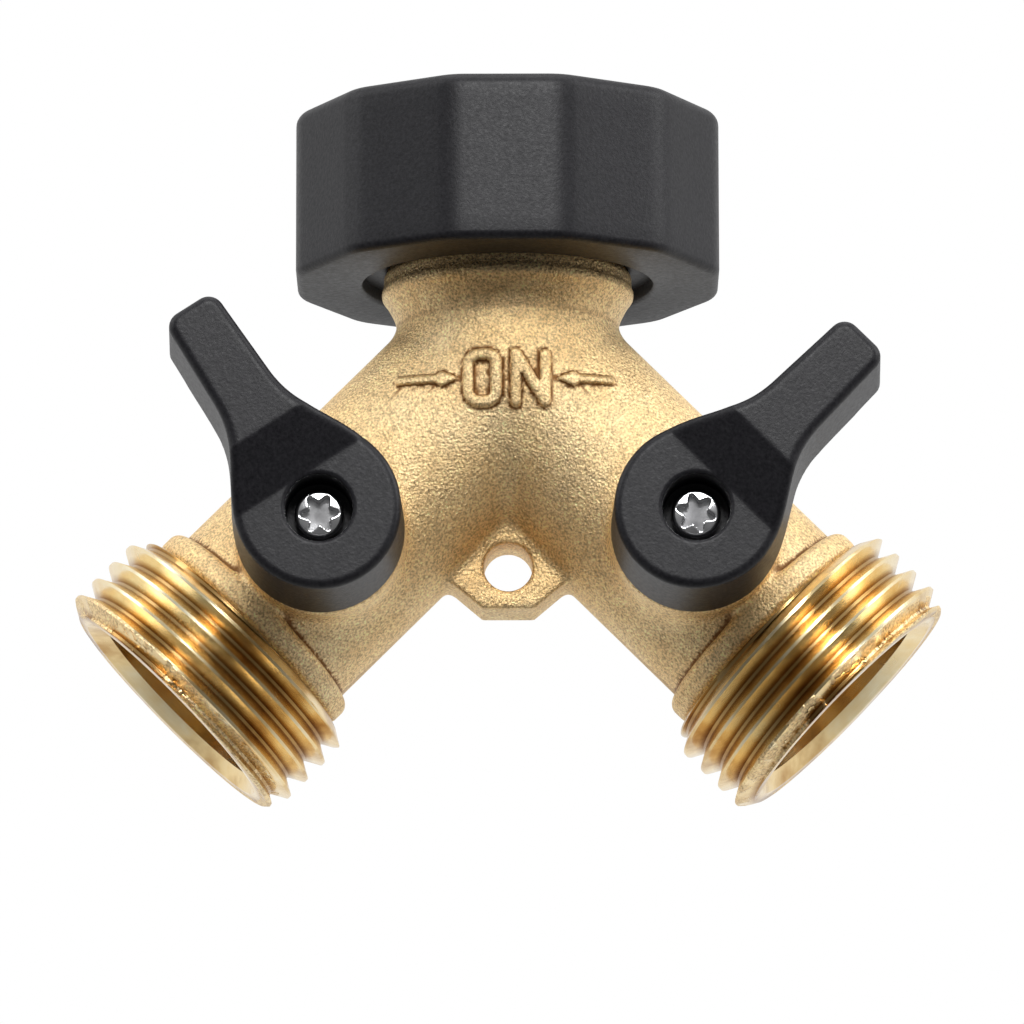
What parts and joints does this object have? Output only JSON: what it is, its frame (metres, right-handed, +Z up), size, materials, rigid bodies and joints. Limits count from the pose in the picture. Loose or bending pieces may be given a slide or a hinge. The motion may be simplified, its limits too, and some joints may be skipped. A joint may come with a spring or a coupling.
{
  "type": "hose splitter",
  "caption": "Y-shaped brass garden hose splitter with a swivel inlet nut, quarter-turn ball valves with black levers, and a hanging tab.",
  "frame": {"origin": "middle of the inlet washer's top face, on the inlet nut's axis: the seat that the end of the tap or hose meets", "axes": "+Z up along the inlet, towards the tap that it screws onto; +X towards the right-hand outlet seen from the levers' side; the levers are on the -Y side"},
  "size_m": [0.0804, 0.0454, 0.0648],
  "materials": {
    "cast_brass": "shot-blasted casting, fine bright grain",
    "machined_brass": "turned, bright, with fine tool lines",
    "black_plastic": "moulded black plastic, fine satin texture",
    "black_rubber": "matte moulded rubber",
    "white_ptfe": "smooth white PTFE",
    "spring_steel": "plain spring steel wire",
    "chromed_screw": "bright plated steel",
    "chromed_ball": "polished chrome on brass"
  },
  "bodies": {
    "root": {"valve_body": "cast_brass", "nut_retaining_ring": "spring_steel", "left_thrust_washer": "white_ptfe", "left_inner_seat": "white_ptfe", "left_outer_seat": "white_ptfe", "left_seat_retainer": "machined_brass", "right_thrust_washer": "white_ptfe", "right_inner_seat": "white_ptfe", "right_outer_seat": "white_ptfe", "right_seat_retainer": "machined_brass"},
    "nut": {"swivel_nut": "machined_brass", "nut_grip": "black_plastic", "inlet_washer": "black_rubber"},
    "left_valve": {"left_lever": "black_plastic", "left_lever_screw": "chromed_screw", "left_valve_stem": "machined_brass", "left_upper_stem_seal": "black_rubber", "left_lower_stem_seal": "black_rubber", "left_valve_ball": "chromed_ball"},
    "right_valve": {"right_lever": "black_plastic", "right_lever_screw": "chromed_screw", "right_valve_stem": "machined_brass", "right_upper_stem_seal": "black_rubber", "right_lower_stem_seal": "black_rubber", "right_valve_ball": "chromed_ball"}
  },
  "joints": [
    {"name": "nut_swivel", "type": "hinge", "parent": "root", "child": "nut", "pos_m": [0, 0, 0], "axis": [0, 0, 1], "continuous": true},
    {"name": "left_valve_turn", "type": "hinge", "parent": "root", "child": "left_valve", "pos_m": [-0.01711, -0.0129, -0.03421], "axis": [0, 1, 0], "range_deg": [-12, 78]},
    {"name": "right_valve_turn", "type": "hinge", "parent": "root", "child": "right_valve", "pos_m": [0.01711, -0.0129, -0.03421], "axis": [0, -1, 0], "range_deg": [0, 90]}
  ]
}
